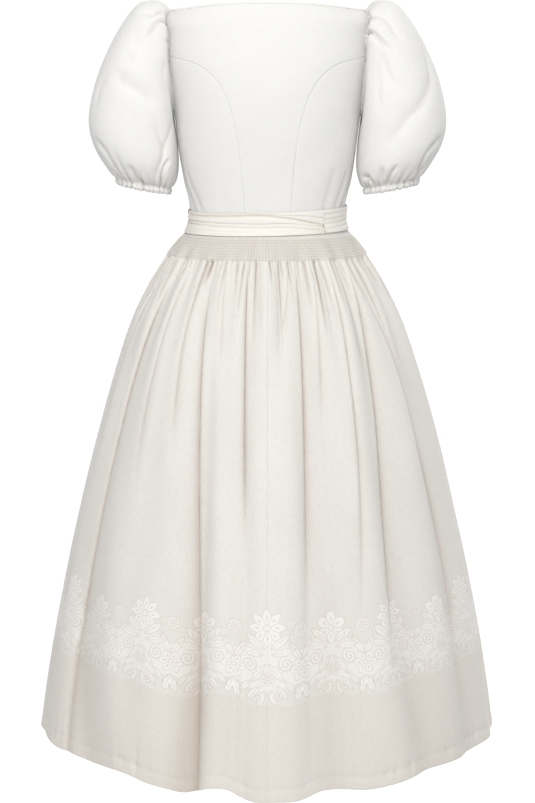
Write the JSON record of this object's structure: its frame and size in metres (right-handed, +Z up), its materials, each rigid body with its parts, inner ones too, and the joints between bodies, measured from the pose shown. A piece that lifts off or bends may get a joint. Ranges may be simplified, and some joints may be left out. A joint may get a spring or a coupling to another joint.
{
  "type": "european folk dress",
  "caption": "Folk dress with a fitted panelled bodice, puff sleeves, a folded sash and a long skirt smocked at the top, open at neck, cuffs and hem.",
  "frame": {"origin": "midway between the tops of the two shoulder seams, where the wearer's shoulders hold the dress", "axes": "+Z up, -Y towards the front of the dress, +X towards the wearer's left"},
  "size_m": [0.7134, 0.6303, 1.1762],
  "materials": {
    "bodice_linen": "matt slubbed linen, off-white",
    "sash_silk": "soft sheen, warm ivory",
    "skirt_twill": "silky herringbone twill, grey ivory, tonal floral border"
  },
  "bodies": {
    "root": {"back_centre": "bodice_linen", "back_side_left": "bodice_linen", "back_side_right": "bodice_linen", "button_1": "bodice_linen", "button_2": "bodice_linen", "button_3": "bodice_linen", "button_4": "bodice_linen", "button_5": "bodice_linen", "button_6": "bodice_linen", "front_left": "bodice_linen", "front_right": "bodice_linen", "front_side_left": "bodice_linen", "front_side_right": "bodice_linen", "neck_binding": "bodice_linen", "sash_back": "sash_silk", "sash_front": "sash_silk", "skirt_back_left": "skirt_twill", "skirt_back_right": "skirt_twill", "skirt_front": "skirt_twill", "sleeve_left": "bodice_linen", "sleeve_right": "bodice_linen"}
  },
  "joints": []
}
